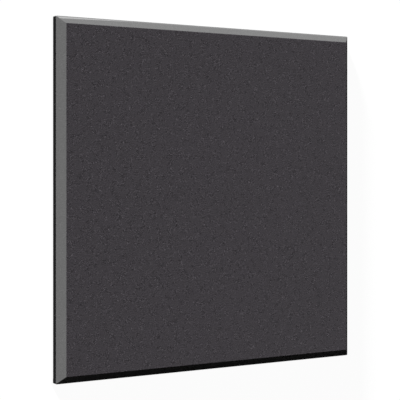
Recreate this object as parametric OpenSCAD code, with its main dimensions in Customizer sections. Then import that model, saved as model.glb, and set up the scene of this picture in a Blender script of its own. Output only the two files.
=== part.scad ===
// Square acoustic ceiling panel: a rigid glass-fibre board with bevelled
// edges, wrapped in one piece of fabric that turns onto the back.
// It lies on its back, face up, centred on the origin. Millimetres.

/* [Panel] */
// Finished width, fabric included
panel_w = 609.6; // [300:0.1:1220]
// Finished length, fabric included
panel_l = 609.6; // [300:0.1:1220]
// Finished thickness, fabric included
panel_t = 25.4; // [19:0.1:52]

/* [Bevel] */
// Width of the bevel, seen from the front
bevel_w = 12.7; // [6:0.1:24]
// Drop of the bevel from the face to the side
bevel_drop = 12.7; // [6:0.1:15]

/* [Board] */
// Radius of the board's hardened long edges
board_edge_r = 0.4; // [0.2:0.1:2]
// Radius of the board's four upright corners
board_corner_r = 1; // [0.4:0.1:4]

/* [Fabric] */
// Thickness of the fabric
fabric_t = 0.6; // [0.4:0.1:1.5]
// Width of the fabric turned onto the back
hem_w = 38; // [20:1:80]
// Width of the mitred slit between two turned edges
mitre_gap = 0.8; // [0.4:0.1:3]

/* [Hidden] */
$fn = 48;
// Angle of the bevel below the face
bevel_angle = atan2(bevel_drop, bevel_w);
// How far a cutting shape runs past what it cuts
cut_over = 1;

// Corners of the cross-section of a panel "span" wide, moved in by "inset"
function section(span, inset) =
    let (side = span / 2 - inset,
         face_edge = span / 2 - bevel_w - inset * tan(bevel_angle / 2),
         bevel_foot = panel_t - bevel_drop - inset * tan(45 - bevel_angle / 2),
         top = panel_t - inset)
    [[-side, inset], [side, inset], [side, bevel_foot], [face_edge, top],
     [-face_edge, top], [-side, bevel_foot]];

// Corners of the outline seen from above, moved in by "inset"
function outline(inset) =
    let (x = panel_w / 2 - inset, y = panel_l / 2 - inset)
    [[-x, -y], [x, -y], [x, y], [-x, y]];

// Unit vector from one point to another
function towards(from, to) = (to - from) / norm(to - from);

// Half the angle inside corner i of a polygon
function half_angle(points, i) =
    let (n = len(points),
         back = towards(points[i], points[(i + n - 1) % n]),
         on = towards(points[i], points[(i + 1) % n]))
    acos(back * on) / 2;

// Point at "reach" from corner i towards a neighbouring corner
function along(points, i, step, reach) =
    let (n = len(points))
    points[i] + reach * towards(points[i], points[(i + n + step) % n]);

// Centre of the arc of radius r that rounds corner i
function arc_centre(points, i, r) =
    let (n = len(points),
         back = towards(points[i], points[(i + n - 1) % n]),
         on = towards(points[i], points[(i + 1) % n]))
    points[i] + r / sin(half_angle(points, i)) * towards([0, 0], back + on);

// Convex polygon with each corner rounded to radius r
module rounded(points, r) {
    corners = [for (i = [0 : len(points) - 1]) i];
    polygon([for (i = corners, step = [-1, 1])
        along(points, i, step, r / tan(half_angle(points, i)))]);
    for (i = corners)
        translate(arc_centre(points, i, r))
            circle(r);
}

// The bevelled block, moved in from the finished surface by "inset"
module bevelled_block(inset, edge_r, corner_r) {
    intersection() {
        rotate([90, 0, 0])
            linear_extrude(panel_l + 2 * cut_over, center = true)
                rounded(section(panel_w, inset), edge_r);
        rotate([90, 0, 90])
            linear_extrude(panel_w + 2 * cut_over, center = true)
                rounded(section(panel_l, inset), edge_r);
        linear_extrude(panel_t + cut_over)
            rounded(outline(inset), corner_r);
    }
}

// Opening in the back of the cover, inside the turned edges
module back_window() {
    translate([hem_w - panel_w / 2, hem_w - panel_l / 2, -cut_over])
        cube([panel_w - 2 * hem_w, panel_l - 2 * hem_w,
              fabric_t + 2 * cut_over]);
}

// Slits from the window's corners out towards the panel's corners
module mitre_slits() {
    slit = (hem_w - board_corner_r - fabric_t) * sqrt(2);
    for (x = [-1, 1], y = [-1, 1])
        translate([x * (panel_w / 2 - hem_w), y * (panel_l / 2 - hem_w), 0])
            rotate([0, 0, atan2(y, x)])
                translate([-cut_over, -mitre_gap / 2, -cut_over])
                    cube([slit + cut_over, mitre_gap,
                          fabric_t + 2 * cut_over]);
}

module core_board() {
    color([0.78, 0.68, 0.36])
        bevelled_block(fabric_t, board_edge_r, board_corner_r);
}

module fabric_cover() {
    color([0.245, 0.235, 0.25])
        difference() {
            bevelled_block(0, board_edge_r + fabric_t,
                           board_corner_r + fabric_t);
            bevelled_block(fabric_t, board_edge_r, board_corner_r);
            back_window();
            mitre_slits();
        }
}

core_board();
fabric_cover();
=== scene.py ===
"""Looks of the acoustic ceiling panel: wrapped fabric, bare glass-fibre back, floor, light and camera.

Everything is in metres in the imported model's frame, where the panel lies on its back, face up, centred on
the origin.
"""
import math
import random

import bpy
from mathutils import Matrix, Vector


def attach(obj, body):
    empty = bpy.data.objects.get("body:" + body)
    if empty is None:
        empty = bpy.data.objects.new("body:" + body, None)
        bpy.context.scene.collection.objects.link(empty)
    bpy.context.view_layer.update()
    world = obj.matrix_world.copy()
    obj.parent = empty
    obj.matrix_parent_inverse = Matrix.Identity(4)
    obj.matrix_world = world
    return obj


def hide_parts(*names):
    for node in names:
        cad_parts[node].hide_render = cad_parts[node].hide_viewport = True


MM = 0.001

# The panel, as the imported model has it
HALF = 304.8 * MM
TOP = 25.4 * MM
BEVEL = 12.7 * MM
EDGE_R = 1.0 * MM
CORNER_R = 1.6 * MM
HEM = 38 * MM

# The cloth and how it is folded. A flat strip beside the face's fold keeps its shading off the face
CLOTH = 0.55 * MM
FACE_CORNER_R = 0.7 * MM
BACK_CORNER_R = 0.05 * MM
FOLD_STEPS = 6
FIRST_RING = 6 * MM
FLAT_STRIP = 0.2 * MM
LAST_RING = 3 * MM
SLIT = 1.2 * MM
SLIT_OPENS_IN = 4 * MM
PLEAT_WIDTH = 9 * MM
PLEAT_STEP = 0.3 * MM
PLEAT_SOFTNESS = 1.4 * MM

# The yarn. Its crossings lean at random and a few are paler, more so in some patches than in others,
# and least past the face's fold, where the cloth is pulled tight and has lost the face's tint
YARN = 1.15 * MM
YARN_RELIEF = 0.01 * MM
GRAIN_RELIEF = 0.1 * MM
STREAK_STRETCH = 0.09
PATCHES_PER_METRE = 90.0
CROSSING_TILT = 0.042
USUAL_CROSSING = -0.1
PALEST_CROSSING = 0.6
TIGHT_SHARE = 0.25
CHARCOAL = (0.0458, 0.0458, 0.0458)
FACE_TINT = (0.0, -0.0041, 0.001)
TINT_BLEND = 0.5 * MM

# The painted highlight on the top bevel: a paler strip from the left corner on, measured up from the
# bevel's foot
HIGHLIGHT_TOP = 7.28 * MM
HIGHLIGHT_FOOT = 2.88 * MM
HIGHLIGHT_END = -150 * MM
HIGHLIGHT_SOFTNESS = 1.2 * MM
HIGHLIGHT_FADE = 2 * MM
HIGHLIGHT_PALER = 1.1

# The bare board: bundles of strands at several angles
RESIN_YELLOW = (0.58, 0.43, 0.12)
STRAND_SIZE = (7 * MM, 0.6 * MM, 7 * MM)
STRAND_TURNS = (8, 49, 83, 121, 160)
STRAND_RELIEF = 0.5 * MM

# The camera, fitted to the panel's straight edges in the photograph
IMAGE = 400
SENSOR = 36
FOCAL_PIXELS = 1211
RISE_PIXELS = 30.26
CAMERA_AT = (-1.1473, 0.05, 1.8421)
CAMERA_TURN = math.radians(31.505)

# The floor
FLOOR_HALF = 30
FLOOR_DROP = 0.3 * MM
FLOOR_GLOW = 0.965
FLOOR_TINT = 0.05
FLOOR_PAINT = 0.5

# The light, and the card that keeps it off the left side, up to just below the bevel's foot
KEY_HEIGHT = math.radians(7.9)
KEY_TURN = math.radians(28.8)
KEY_WIDTH = math.radians(8)
FLAG_GAP = 4 * MM
FLAG_DROP = 0.4 * MM
AMBIENT = 0.03

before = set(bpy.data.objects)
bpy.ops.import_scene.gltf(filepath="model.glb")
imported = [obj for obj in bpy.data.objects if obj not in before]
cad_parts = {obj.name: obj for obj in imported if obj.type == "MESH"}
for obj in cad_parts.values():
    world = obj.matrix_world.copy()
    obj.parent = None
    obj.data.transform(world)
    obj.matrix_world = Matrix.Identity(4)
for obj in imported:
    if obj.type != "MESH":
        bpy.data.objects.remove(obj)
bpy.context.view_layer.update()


# Shape of the cover

def steps(count):
    """Evenly spaced numbers from just above 0 to 1."""
    return [(i + 1) / count for i in range(count)]


def blend(a, b, t):
    """Point between two tuples of numbers."""
    return tuple(p + (q - p) * t for p, q in zip(a, b))


def profile():
    """Cross-section of the cover, from the face over the bevel and the side to the back.

    Each row is (distance in from the side, height, radius of the ring's corners).
    """
    tangent = EDGE_R * math.tan(math.radians(22.5))
    side_top = TOP - BEVEL - tangent
    rows = [(BEVEL + gap, TOP, FACE_CORNER_R) for gap in (FIRST_RING, tangent + FLAT_STRIP, tangent)]
    for t in steps(FOLD_STEPS):
        a = math.radians(45 * t)
        inset = BEVEL + tangent - EDGE_R * math.sin(a)
        rows.append((inset, TOP - EDGE_R * (1 - math.cos(a)), FACE_CORNER_R))
    foot = math.radians(45)
    bevel_foot = (EDGE_R * (1 - math.sin(foot)), side_top + EDGE_R * math.cos(foot), CORNER_R)
    rows += [blend(rows[-1], bevel_foot, t) for t in steps(10)]
    for t in steps(FOLD_STEPS):
        a = math.radians(45 + 45 * t)
        rows.append((EDGE_R * (1 - math.sin(a)), side_top + EDGE_R * math.cos(a), CORNER_R))
    rows += [blend(rows[-1], (0.0, EDGE_R, CORNER_R), t) for t in steps(9)]
    for t in steps(FOLD_STEPS):
        a = math.radians(90 * t)
        inset = EDGE_R * (1 - math.cos(a))
        rows.append((inset, EDGE_R * (1 - math.sin(a)), CORNER_R - inset))
    rows.append((LAST_RING, 0.0, BACK_CORNER_R))
    return rows


def unfolded(rows):
    """Distance of each row from the panel's centre, measured along the cloth."""
    out = [HALF - rows[0][0]]
    for a, b in zip(rows, rows[1:]):
        out.append(out[-1] + math.hypot(b[0] - a[0], b[1] - a[1]))
    return out


def places_along():
    """Places along one side as shares of its half length, closer together near the corners.

    The gaps from the corner are in millimetres, on a half side of 290 mm.
    """
    near = [0.75 * i for i in range(16)]
    far = [13, 16, 21, 29, 41, 58, 81, 110, 146, 189, 238]
    shares = [1 - gap / 290 for gap in near + far]
    return [-s for s in shares] + [0.0] + shares[::-1]


def turned(x, y, quarter):
    """Point turned about the centre by a number of quarter turns."""
    for _ in range(quarter % 4):
        x, y = -y, x
    return x, y


def smooth(t):
    """Smooth rise from 0 to 1."""
    t = min(max(t, 0.0), 1.0)
    return t * t * (3 - 2 * t)


class ClothMesh:
    """Outer surface of the cover, with the flat cut's coordinates at each face's corners."""

    ARC = 6

    def __init__(self):
        self.points = []
        self.faces = []
        self.flat = []
        self.along = places_along()
        self.rows = profile()
        self.reach = unfolded(self.rows)
        self.random = random.Random(11)

    def point(self, x, y, z):
        self.points.append((x, y, z))
        return len(self.points) - 1

    def face(self, corners, flat):
        self.faces.append(corners)
        self.flat.append(flat)

    def pleat(self, x, z, arc_share):
        """How far the tucked layer beside a corner stands out, near the far end of a side."""
        side_top = TOP - BEVEL
        if z >= side_top:
            return 0.0
        width = PLEAT_WIDTH * (1 - z / side_top)
        edge = smooth((x - (HALF - width)) / PLEAT_SOFTNESS)
        return PLEAT_STEP * edge * (1 - smooth(arc_share)) * min(z / EDGE_R, 1.0)

    def ring(self, row):
        """Points of one ring, as (index, place along its side, place across it) in the side's own frame."""
        inset, z, radius = self.rows[row]
        a = HALF - inset
        out = []
        for side in range(4):
            local = [(s * (a - radius), -a, 0.0) for s in self.along]
            for i in range(1, self.ARC):
                turn = math.radians(90 * i / self.ARC)
                local.append((a - radius + radius * math.sin(turn),
                              -(a - radius) - radius * math.cos(turn), i / self.ARC))
            for x, y, share in local:
                out_by = self.pleat(x, z, share)
                px, py = turned(x, y - out_by, side)
                out.append((self.point(px, py, z), x, y))
        return out

    def flat_at(self, row, x, y, side):
        """Place on the flat cut of a ring's point, in the frame of one side."""
        a = HALF - self.rows[row][0]
        return turned(x, -self.reach[row] + (y + a), side)

    def face_grid(self, inner):
        """The flat face, as a grid joined to the innermost ring."""
        inset, z, radius = self.rows[0]
        half = HALF - inset - radius
        n = len(self.along)
        grid = [[self.point(sx * half, sy * half, z) for sx in self.along] for sy in self.along]
        spot = [s * half for s in self.along]
        for j in range(n - 1):
            for i in range(n - 1):
                self.face((grid[j][i], grid[j][i + 1], grid[j + 1][i + 1], grid[j + 1][i]),
                          ((spot[i], spot[j]), (spot[i + 1], spot[j]),
                           (spot[i + 1], spot[j + 1]), (spot[i], spot[j + 1])))
        rims = [[grid[0][i] for i in range(n)], [grid[i][-1] for i in range(n)],
                [grid[-1][-1 - i] for i in range(n)], [grid[-1 - i][0] for i in range(n)]]
        per_side = n + self.ARC - 1
        for side in range(4):
            base = side * per_side
            for i in range(n - 1):
                p, q = inner[base + i], inner[base + i + 1]
                self.face((rims[side][i], p[0], q[0], rims[side][i + 1]),
                          (turned(spot[i], -half, side), self.flat_at(0, p[1], p[2], side),
                           self.flat_at(0, q[1], q[2], side), turned(spot[i + 1], -half, side)))
            corner = rims[side][-1]
            for i in range(n - 1, per_side):
                p, q = inner[base + i], inner[(base + i + 1) % len(inner)]
                q_local = turned(q[1], q[2], 1) if i + 1 == per_side else q[1:]
                self.face((corner, p[0], q[0]),
                          (turned(half, -half, side), self.flat_at(0, p[1], p[2], side),
                           self.flat_at(0, *q_local, side)))

    def band(self, row, inner, outer):
        """Faces between two rings. The corner's arc is shared between the two sides that it joins."""
        n = len(self.along)
        per_side = n + self.ARC - 1
        for side in range(4):
            base = side * per_side
            for i in range(per_side):
                mine = i < n - 1 + self.ARC // 2
                frame_side = side if mine else side + 1
                corners, flat = [], []
                for ring, r, k in ((inner, row, i), (outer, row + 1, i),
                                   (outer, row + 1, i + 1), (inner, row, i + 1)):
                    index, x, y = ring[(base + k) % len(ring)]
                    over = 1 if k == per_side else 0
                    x, y = turned(x, y, side + over - frame_side)
                    corners.append(index)
                    flat.append(self.flat_at(r, x, y, frame_side))
                self.face(tuple(corners), tuple(flat))

    def flap(self, side, ring):
        """One turned edge on the back, cut by hand and mitred at both ends."""
        n = len(self.along)
        base = side * (n + self.ARC - 1)
        # Height, frequency and phase of each wave in the cut
        draw = self.random.uniform
        waves = [(draw(0.1, 0.35) * MM, draw(18, 60), draw(0, 6.3)) for _ in range(4)]
        before = [(ring[base + i][0], ring[base + i][1], LAST_RING) for i in range(n)]
        for share in (0.05, 0.14, 0.28, 0.44, 0.6, 0.76, 0.9, 1.0):
            row = []
            for s in self.along:
                cut = HEM + sum(a * math.sin(w * s * HALF * 2 + p) for a, w, p in waves)
                inset = LAST_RING + (cut - LAST_RING) * share
                opening = SLIT * math.sqrt(0.5) * smooth((inset - LAST_RING) / SLIT_OPENS_IN)
                x = s * (HALF - inset - opening)
                px, py = turned(x, -(HALF - inset), side)
                row.append((self.point(px, py, 0.0), x, inset))
            for i in range(n - 1):
                corners, flat = [], []
                for index, x, inset in (before[i], row[i], row[i + 1], before[i + 1]):
                    corners.append(index)
                    flat.append(turned(x, -(self.reach[-1] + inset - LAST_RING), side))
                self.face(tuple(corners), tuple(flat))
            before = row

    def build(self):
        rings = [self.ring(r) for r in range(len(self.rows))]
        self.face_grid(rings[0])
        for row in range(len(rings) - 1):
            self.band(row, rings[row], rings[row + 1])
        for side in range(4):
            self.flap(side, rings[-1])
        mesh = bpy.data.meshes.new("fabric_wrap")
        mesh.from_pydata(self.points, [], self.faces)
        flat_cut = mesh.uv_layers.new(name="flat_cut")
        places = [place for corners in self.flat for place in corners]
        flat_cut.data.foreach_set("uv", [v for place in places for v in place])
        mesh.validate()
        mesh.shade_smooth()
        return mesh


# Materials

class Tree:
    """Short calls that add nodes to one material."""

    def __init__(self, name):
        self.material = bpy.data.materials.new(name)
        self.material.use_nodes = True
        self.nodes = self.material.node_tree.nodes
        self.links = self.material.node_tree.links
        self.shader = self.nodes["Principled BSDF"]

    def put(self, socket, value):
        if isinstance(value, bpy.types.NodeSocket):
            self.links.new(value, socket)
        else:
            socket.default_value = value

    def add(self, kind, inputs=(), **settings):
        node = self.nodes.new(kind)
        for name, value in settings.items():
            setattr(node, name, value)
        for name, value in dict(inputs).items():
            self.put(node.inputs[name], value)
        return node

    def maths(self, operation, *values):
        node = self.add("ShaderNodeMath", operation=operation)
        for socket, value in zip(node.inputs, values):
            self.put(socket, value)
        return node.outputs[0]

    def product(self, first, *others):
        for value in others:
            first = self.maths("MULTIPLY", first, value)
        return first

    def vector(self, x, y, z=0.0):
        return self.add("ShaderNodeCombineXYZ", {"X": x, "Y": y, "Z": z}).outputs[0]

    def noise(self, vector, scale, detail=2.0, roughness=0.5):
        inputs = {"Vector": vector, "Scale": scale, "Detail": detail, "Roughness": roughness}
        return self.add("ShaderNodeTexNoise", inputs).outputs["Fac"]

    def ranged(self, value, low, high, to_low, to_high):
        inputs = {"Value": value, "From Min": low, "From Max": high, "To Min": to_low, "To Max": to_high}
        return self.add("ShaderNodeMapRange", inputs).outputs["Result"]

    def shaded(self, colour, factor):
        """A colour made lighter or darker by a number."""
        inputs = {0: colour, "Scale": factor}
        return self.add("ShaderNodeVectorMath", inputs, operation="SCALE").outputs["Vector"]

    def added(self, colour, extra, share):
        """A colour with a share of a second one added."""
        inputs = {0: extra, 1: share, 2: colour}
        return self.add("ShaderNodeVectorMath", inputs, operation="MULTIPLY_ADD").outputs["Vector"]

    def bump(self, height):
        """Height in metres."""
        return self.add("ShaderNodeBump", {"Height": height, "Distance": 1.0})

    def tilt(self, chances, reach, uv_map):
        """Normal leaned two ways at once, by two random numbers from 0 to 1."""
        signed = [self.ranged(chance, 0.0, 1.0, -0.5, 0.5) for chance in chances]
        leans = [self.maths("MULTIPLY_ADD", lean, reach, 0.5) for lean in signed]
        inputs = {"Color": self.vector(*leans, 1.0)}
        return self.add("ShaderNodeNormalMap", inputs, uv_map=uv_map).outputs["Normal"]


def painted_highlight_strip(tree, x, y):
    """Share of painted highlight above the foot of the top bevel, in a strip that narrows from the left
    corner.
    """
    foot = HALF - BEVEL + BEVEL * math.sqrt(2)
    height = tree.maths("SUBTRACT", foot, y)
    reach = tree.ranged(x, -HALF, HIGHLIGHT_END, HIGHLIGHT_TOP, HIGHLIGHT_FOOT)
    upper = tree.ranged(tree.maths("SUBTRACT", reach, height), 0.0, HIGHLIGHT_SOFTNESS, 0.0, 1.0)
    lower = tree.ranged(height, HIGHLIGHT_FOOT - HIGHLIGHT_FADE, HIGHLIGHT_FOOT, 0.0, 1.0)
    return tree.maths("MULTIPLY", upper, lower)


def on_face(tree, x, y):
    """1 on the flat face, 0 past the fold round it."""
    from_centre = tree.maths("MAXIMUM", tree.maths("ABSOLUTE", x), tree.maths("ABSOLUTE", y))
    fold = HALF - BEVEL
    return tree.ranged(from_centre, fold - TINT_BLEND, fold + TINT_BLEND, 1.0, 0.0)


def plain_weave(tree, warp, weft):
    """Height of the weave from 0 to 1, and whether the warp lies on top, at a place counted in yarns."""
    wave_a = tree.maths("SINE", tree.maths("MULTIPLY", warp, math.pi))
    wave_b = tree.maths("SINE", tree.maths("MULTIPLY", weft, math.pi))
    cross = tree.maths("MULTIPLY", wave_a, wave_b)
    warp_top = tree.maths("ADD", tree.maths("ABSOLUTE", wave_a), cross)
    weft_top = tree.maths("SUBTRACT", tree.maths("ABSOLUTE", wave_b), cross)
    height = tree.maths("MULTIPLY", tree.maths("MAXIMUM", warp_top, weft_top), 0.5)
    return height, tree.maths("GREATER_THAN", warp_top, weft_top)


def streaks(tree, warp, weft, warp_shows):
    """Slow change of shade along whichever yarn lies on top."""
    along_warp = tree.noise(tree.vector(warp, tree.maths("MULTIPLY", weft, STREAK_STRETCH)), 1.0)
    along_weft = tree.noise(tree.vector(tree.maths("MULTIPLY", warp, STREAK_STRETCH), weft, 7.0), 1.0)
    inputs = {"Factor": warp_shows, "A": along_weft, "B": along_warp}
    return tree.add("ShaderNodeMix", inputs).outputs["Result"]


def looseness(tree, cut, face):
    """How freely the crossings lean: in patches on the face, and little where the cloth is pulled tight."""
    patch = tree.ranged(tree.noise(cut, PATCHES_PER_METRE, 0.0), 0.35, 0.65, 0.3, 1.7)
    return tree.maths("MULTIPLY", patch, tree.ranged(face, 0.0, 1.0, TIGHT_SHARE, 1.0))


def charcoal_fabric():
    """Plain-woven heathered polyester. The weave follows the flat cut round every fold."""
    tree = Tree("charcoal_fabric")
    cut = tree.add("ShaderNodeUVMap", uv_map="flat_cut").outputs["UV"]
    split = tree.add("ShaderNodeSeparateXYZ", {"Vector": cut})
    x, y = split.outputs["X"], split.outputs["Y"]
    drift = tree.ranged(tree.noise(cut, 45.0, 1.0), 0.0, 1.0, -0.35, 0.35)
    warp = tree.maths("MULTIPLY_ADD", x, 1 / YARN, drift)
    weft = tree.maths("MULTIPLY_ADD", y, 1 / YARN, drift)
    weave, warp_shows = plain_weave(tree, warp, weft)
    streak = streaks(tree, warp, weft, warp_shows)
    grain = tree.noise(cut, 550.0, 0.0)

    cell = tree.vector(tree.maths("FLOOR", warp), tree.maths("FLOOR", weft))
    chance = tree.add("ShaderNodeTexWhiteNoise", {"Vector": cell}, noise_dimensions="2D")
    split_chance = tree.add("ShaderNodeSeparateColor", {"Color": chance.outputs["Color"]})
    red, green, blue = (split_chance.outputs[name] for name in ("Red", "Green", "Blue"))
    nub = tree.ranged(tree.maths("POWER", chance.outputs["Value"], 3.0), 0.0, 1.0, 0.75, 1.35)
    face = on_face(tree, x, y)
    loose = looseness(tree, cut, face)
    paler = tree.ranged(tree.maths("POWER", blue, 6.0), 0.0, 1.0, USUAL_CROSSING, PALEST_CROSSING)

    # The weave's hollows are painted darker and its crests lighter: painted shade and highlight on the yarn
    shade = tree.product(tree.ranged(weave, 0.0, 1.0, 0.8, 1.12),
                         tree.ranged(streak, 0.3, 0.7, 0.93, 1.07),
                         tree.ranged(grain, 0.3, 0.7, 0.96, 1.04),
                         tree.maths("MULTIPLY_ADD", paler, loose, 1.0),
                         # The painted highlight strip along the top bevel's foot makes the colour paler
                         # there
                         tree.maths("MULTIPLY_ADD", painted_highlight_strip(tree, x, y), HIGHLIGHT_PALER, 1.0))
    colour = tree.added(CHARCOAL, FACE_TINT, face)
    relief = tree.maths("MULTIPLY_ADD", grain, GRAIN_RELIEF, tree.product(weave, nub, YARN_RELIEF))
    bump = tree.bump(relief)
    reach = tree.maths("MULTIPLY", loose, CROSSING_TILT)
    tree.put(bump.inputs["Normal"], tree.tilt((red, green), reach, "flat_cut"))
    tree.put(tree.shader.inputs["Base Color"], tree.shaded(colour, shade))
    tree.put(tree.shader.inputs["Roughness"], tree.ranged(weave, 0.0, 1.0, 0.98, 0.86))
    tree.put(tree.shader.inputs["Normal"], bump.outputs["Normal"])
    tree.shader.inputs["Specular IOR Level"].default_value = 0.02
    tree.shader.inputs["Sheen Weight"].default_value = 0.03
    tree.shader.inputs["Sheen Roughness"].default_value = 0.45
    return tree.material


def glass_fibre():
    """Raw face of the resin-bonded board: matted yellow strands."""
    tree = Tree("glass_fibre")
    place = tree.add("ShaderNodeTexCoord").outputs["Object"]
    strands = 0.0
    for turn in STRAND_TURNS:
        inputs = {"Vector": place, "Rotation": (0, 0, math.radians(turn)), "Scale": STRAND_SIZE}
        run = tree.add("ShaderNodeMapping", inputs, vector_type="TEXTURE")
        strands = tree.maths("MAXIMUM", tree.noise(run.outputs["Vector"], 1.0, 3.0, 0.6), strands)
    clouds = tree.noise(place, 22.0, 3.0)
    shade = tree.product(tree.ranged(strands, 0.35, 0.75, 0.78, 1.15),
                         tree.ranged(clouds, 0.3, 0.7, 0.9, 1.06))
    bump = tree.bump(tree.maths("MULTIPLY", strands, STRAND_RELIEF))
    tree.put(tree.shader.inputs["Base Color"], tree.shaded(RESIN_YELLOW, shade))
    tree.put(tree.shader.inputs["Roughness"], tree.ranged(strands, 0.3, 0.8, 0.95, 0.75))
    tree.put(tree.shader.inputs["Normal"], bump.outputs["Normal"])
    tree.shader.inputs["Specular IOR Level"].default_value = 0.2
    return tree.material


def seen_directly(node_tree):
    """1 for rays that see a surface or the background itself, 0 for those that carry its light."""
    path = node_tree.nodes.new("ShaderNodeLightPath")
    seen = path.outputs["Is Camera Ray"]
    for name in ("Is Glossy Ray", "Is Transmission Ray"):
        joined = node_tree.nodes.new("ShaderNodeMath")
        joined.operation = "MAXIMUM"
        node_tree.links.new(seen, joined.inputs[0])
        node_tree.links.new(path.outputs[name], joined.inputs[1])
        seen = joined.outputs[0]
    return seen


def grey(level):
    return level, level, level, 1


def pale_floor():
    """Floor that shows as white with the panel's faint shadow, and bounces light as plain paint does."""
    tree = Tree("pale_floor")
    output = tree.nodes["Material Output"]
    tree.nodes.remove(tree.shader)
    seen = seen_directly(tree.material.node_tree)
    glow = tree.add("ShaderNodeEmission", {"Color": grey(1), "Strength": FLOOR_GLOW})
    tint = tree.add("ShaderNodeBsdfDiffuse", {"Color": grey(FLOOR_TINT)})
    shown = tree.add("ShaderNodeAddShader", {0: glow.outputs[0], 1: tint.outputs[0]})
    paint = tree.add("ShaderNodeBsdfDiffuse", {"Color": grey(FLOOR_PAINT)})
    mix = tree.add("ShaderNodeMixShader", {0: seen, 1: paint.outputs[0], 2: shown.outputs[0]})
    tree.put(output.inputs["Surface"], mix.outputs[0])
    return tree.material


# Pieces

def linked(name, data):
    obj = bpy.data.objects.new(name, data)
    bpy.context.scene.collection.objects.link(obj)
    return obj


def sheet_mesh(name, corners):
    mesh = bpy.data.meshes.new(name)
    mesh.from_pydata(corners, [], [(0, 1, 2, 3)])
    return mesh


def make_cover():
    """The fabric, with its thickness inwards, and its declared flat cut."""
    cover = linked("fabric_wrap", ClothMesh().build())
    cover.data.materials.append(charcoal_fabric())
    thickness = cover.modifiers.new("thickness", "SOLIDIFY")
    thickness.thickness = CLOTH
    thickness.offset = -1
    thickness.use_even_offset = True
    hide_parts("fabric_cover")
    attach(cover, "root")


def dress_core():
    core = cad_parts["core_board"]
    material = glass_fibre()
    for slot in core.material_slots:
        slot.material = material


def make_floor():
    signs = ((-1, -1), (1, -1), (1, 1), (-1, 1))
    corners = [(FLOOR_HALF * x, FLOOR_HALF * y, -FLOOR_DROP) for x, y in signs]
    floor = linked("floor", sheet_mesh("floor", corners))
    floor.data.materials.append(pale_floor())


def make_flag(towards_lamp):
    """Studio card that keeps the key off the panel's left side."""
    x = -HALF - FLAG_GAP
    rise = FLAG_GAP * towards_lamp.z / -towards_lamp.x
    run = FLAG_GAP * towards_lamp.y / -towards_lamp.x
    top = TOP - BEVEL - FLAG_DROP + rise
    corners = [(x, -HALF, 0), (x, HALF + run, 0), (x, HALF + run, top), (x, -HALF, top)]
    flag = linked("side_flag", sheet_mesh("side_flag", corners))
    for kind in ("camera", "diffuse", "glossy", "transmission", "volume_scatter"):
        setattr(flag, "visible_" + kind, False)


def make_light():
    """One soft low key, a faint even fill, and a white background."""
    key = bpy.data.lights.new("key", "SUN")
    key.angle = KEY_WIDTH
    key.energy = math.pi / math.sin(KEY_HEIGHT)
    lamp = linked("key", key)
    flat = math.cos(KEY_HEIGHT)
    towards_lamp = Vector((-flat * math.sin(KEY_TURN), flat * math.cos(KEY_TURN), math.sin(KEY_HEIGHT)))
    lamp.rotation_euler = towards_lamp.to_track_quat("Z", "Y").to_euler()
    make_flag(towards_lamp)

    world = bpy.data.worlds.new("studio")
    world.use_nodes = True
    bpy.context.scene.world = world
    nodes, links = world.node_tree.nodes, world.node_tree.links
    seen = seen_directly(world.node_tree)
    strength = nodes.new("ShaderNodeMapRange")
    links.new(seen, strength.inputs["Value"])
    strength.inputs["To Min"].default_value = AMBIENT
    strength.inputs["To Max"].default_value = 1.0
    back = nodes["Background"]
    back.inputs["Color"].default_value = grey(1)
    links.new(strength.outputs["Result"], back.inputs["Strength"])


def make_camera():
    camera = linked("camera", bpy.data.cameras.new("camera"))
    camera.data.sensor_width = SENSOR
    camera.data.lens = SENSOR * FOCAL_PIXELS / IMAGE
    camera.data.shift_y = -RISE_PIXELS / IMAGE
    camera.data.clip_start = 0.05
    camera.data.clip_end = 200
    camera.location = CAMERA_AT
    camera.rotation_euler = (0, -CAMERA_TURN, 0)
    bpy.context.scene.camera = camera


make_camera()
make_cover()
dress_core()
make_floor()
make_light()

bpy.context.scene.view_settings.view_transform = "Standard"
